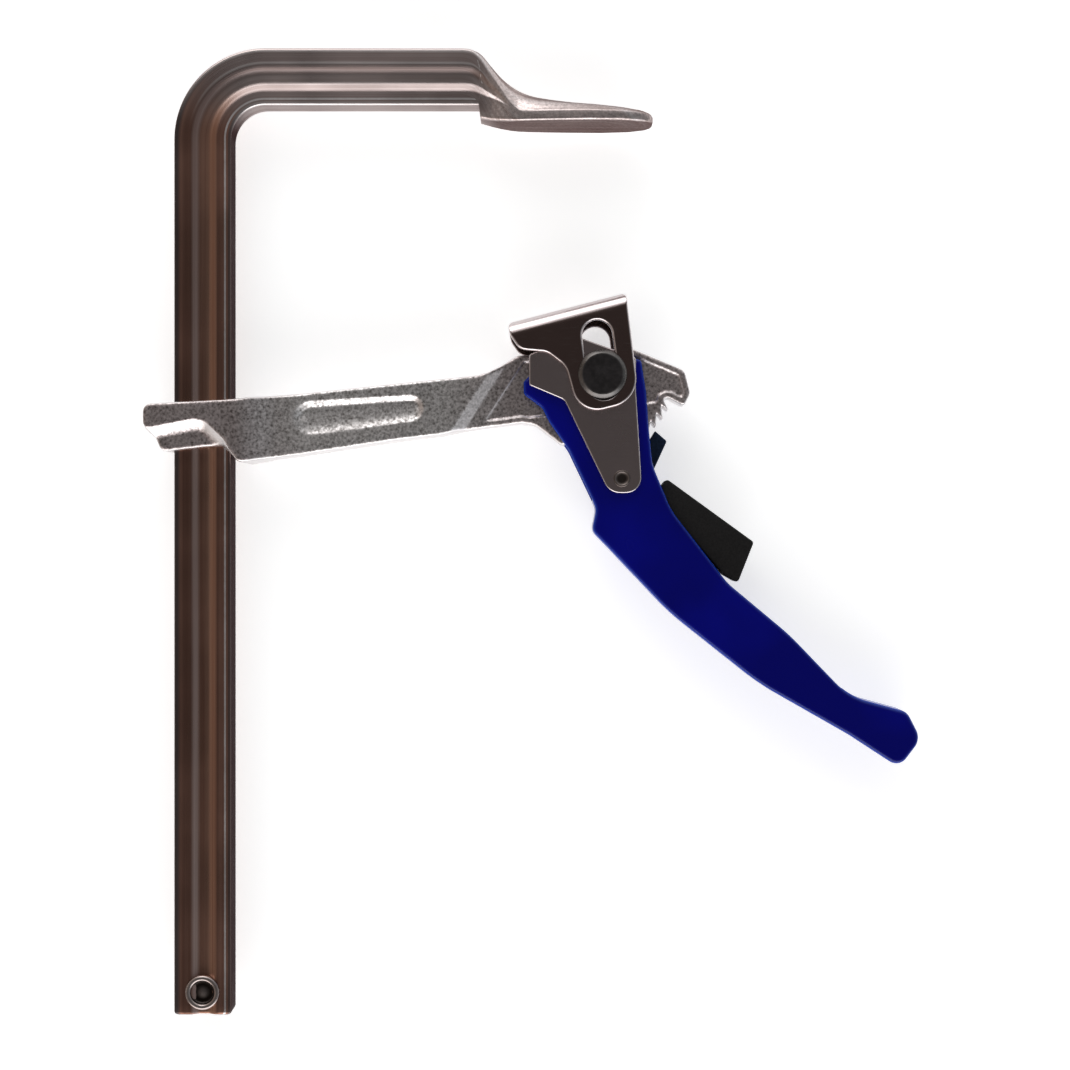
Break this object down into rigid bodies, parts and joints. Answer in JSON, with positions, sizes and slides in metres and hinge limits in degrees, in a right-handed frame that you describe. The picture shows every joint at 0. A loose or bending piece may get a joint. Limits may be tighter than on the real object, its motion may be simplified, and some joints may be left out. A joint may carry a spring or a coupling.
{
  "type": "quick release bar clamp",
  "caption": "All-steel bar clamp: grooved rail with a forged fixed jaw, cast arm sliding on it, tilting pressure shoe and a ratcheting squeeze lever with a release trigger.",
  "frame": {"origin": "centre of the fixed jaw's clamping face", "axes": "+X from the rail towards the jaws' free end, +Z along the rail towards the fixed jaw, Y across the clamp, which is symmetric about Y = 0"},
  "size_m": [0.2831, 0.0268, 0.3552],
  "materials": {
    "forged_steel": "bright plated forging, satin",
    "cast_steel": "bright plated casting, slightly grained",
    "plated_sheet": "bright plated sheet",
    "rivet_steel": "bright plated",
    "spring_steel": "bright drawn wire",
    "black_steel": "blackened steel, satin",
    "blue_coating": "glossy dipped coating over steel",
    "black_plastic": "matt moulded plastic"
  },
  "bodies": {
    "frame": {"rail": "forged_steel", "stop_rivet": "rivet_steel"},
    "arm": {"sliding_arm": "cast_steel"},
    "pin": {"pivot_pin": "black_steel"},
    "shoe": {"pressure_shoe": "plated_sheet"},
    "lever": {"lever": "blue_coating", "cam_plate_front": "plated_sheet", "cam_plate_rear": "plated_sheet", "plate_rivet": "rivet_steel", "pawl_spring": "spring_steel"},
    "pawl": {"ratchet_pawl": "black_steel", "release_trigger": "black_plastic"}
  },
  "joints": [
    {"name": "arm_slide", "type": "slide", "parent": "frame", "child": "arm", "axis": [0, 0, 1], "range_m": [-0.192, 0.058]},
    {"name": "lever_squeeze", "type": "hinge", "parent": "arm", "child": "lever", "pos_m": [0.0127, 0, -0.0928], "axis": [0, 1, 0], "range_deg": [-16.2, 48.6]},
    {"name": "shoe_tilt", "type": "hinge", "parent": "arm", "child": "pin", "pos_m": [0.0127, 0, -0.0928], "axis": [0, 1, 0], "range_deg": [-3, 20]},
    {"name": "shoe_lift", "type": "slide", "parent": "pin", "child": "shoe", "axis": [-0.134, 0, 0.991], "range_m": [-0.0012, 0.0034]},
    {"name": "trigger_press", "type": "hinge", "parent": "lever", "child": "pawl", "pos_m": [0.0199, 0, -0.1307], "axis": [0, 1, 0], "range_deg": [-4, 8], "stiffness_Nm_per_rad": 0.8, "deforming": ["pawl_spring"]}
  ],
  "couplings": [
    {"joint": "shoe_lift", "follows": "lever_squeeze", "m_per_rad": 0.00389}
  ]
}
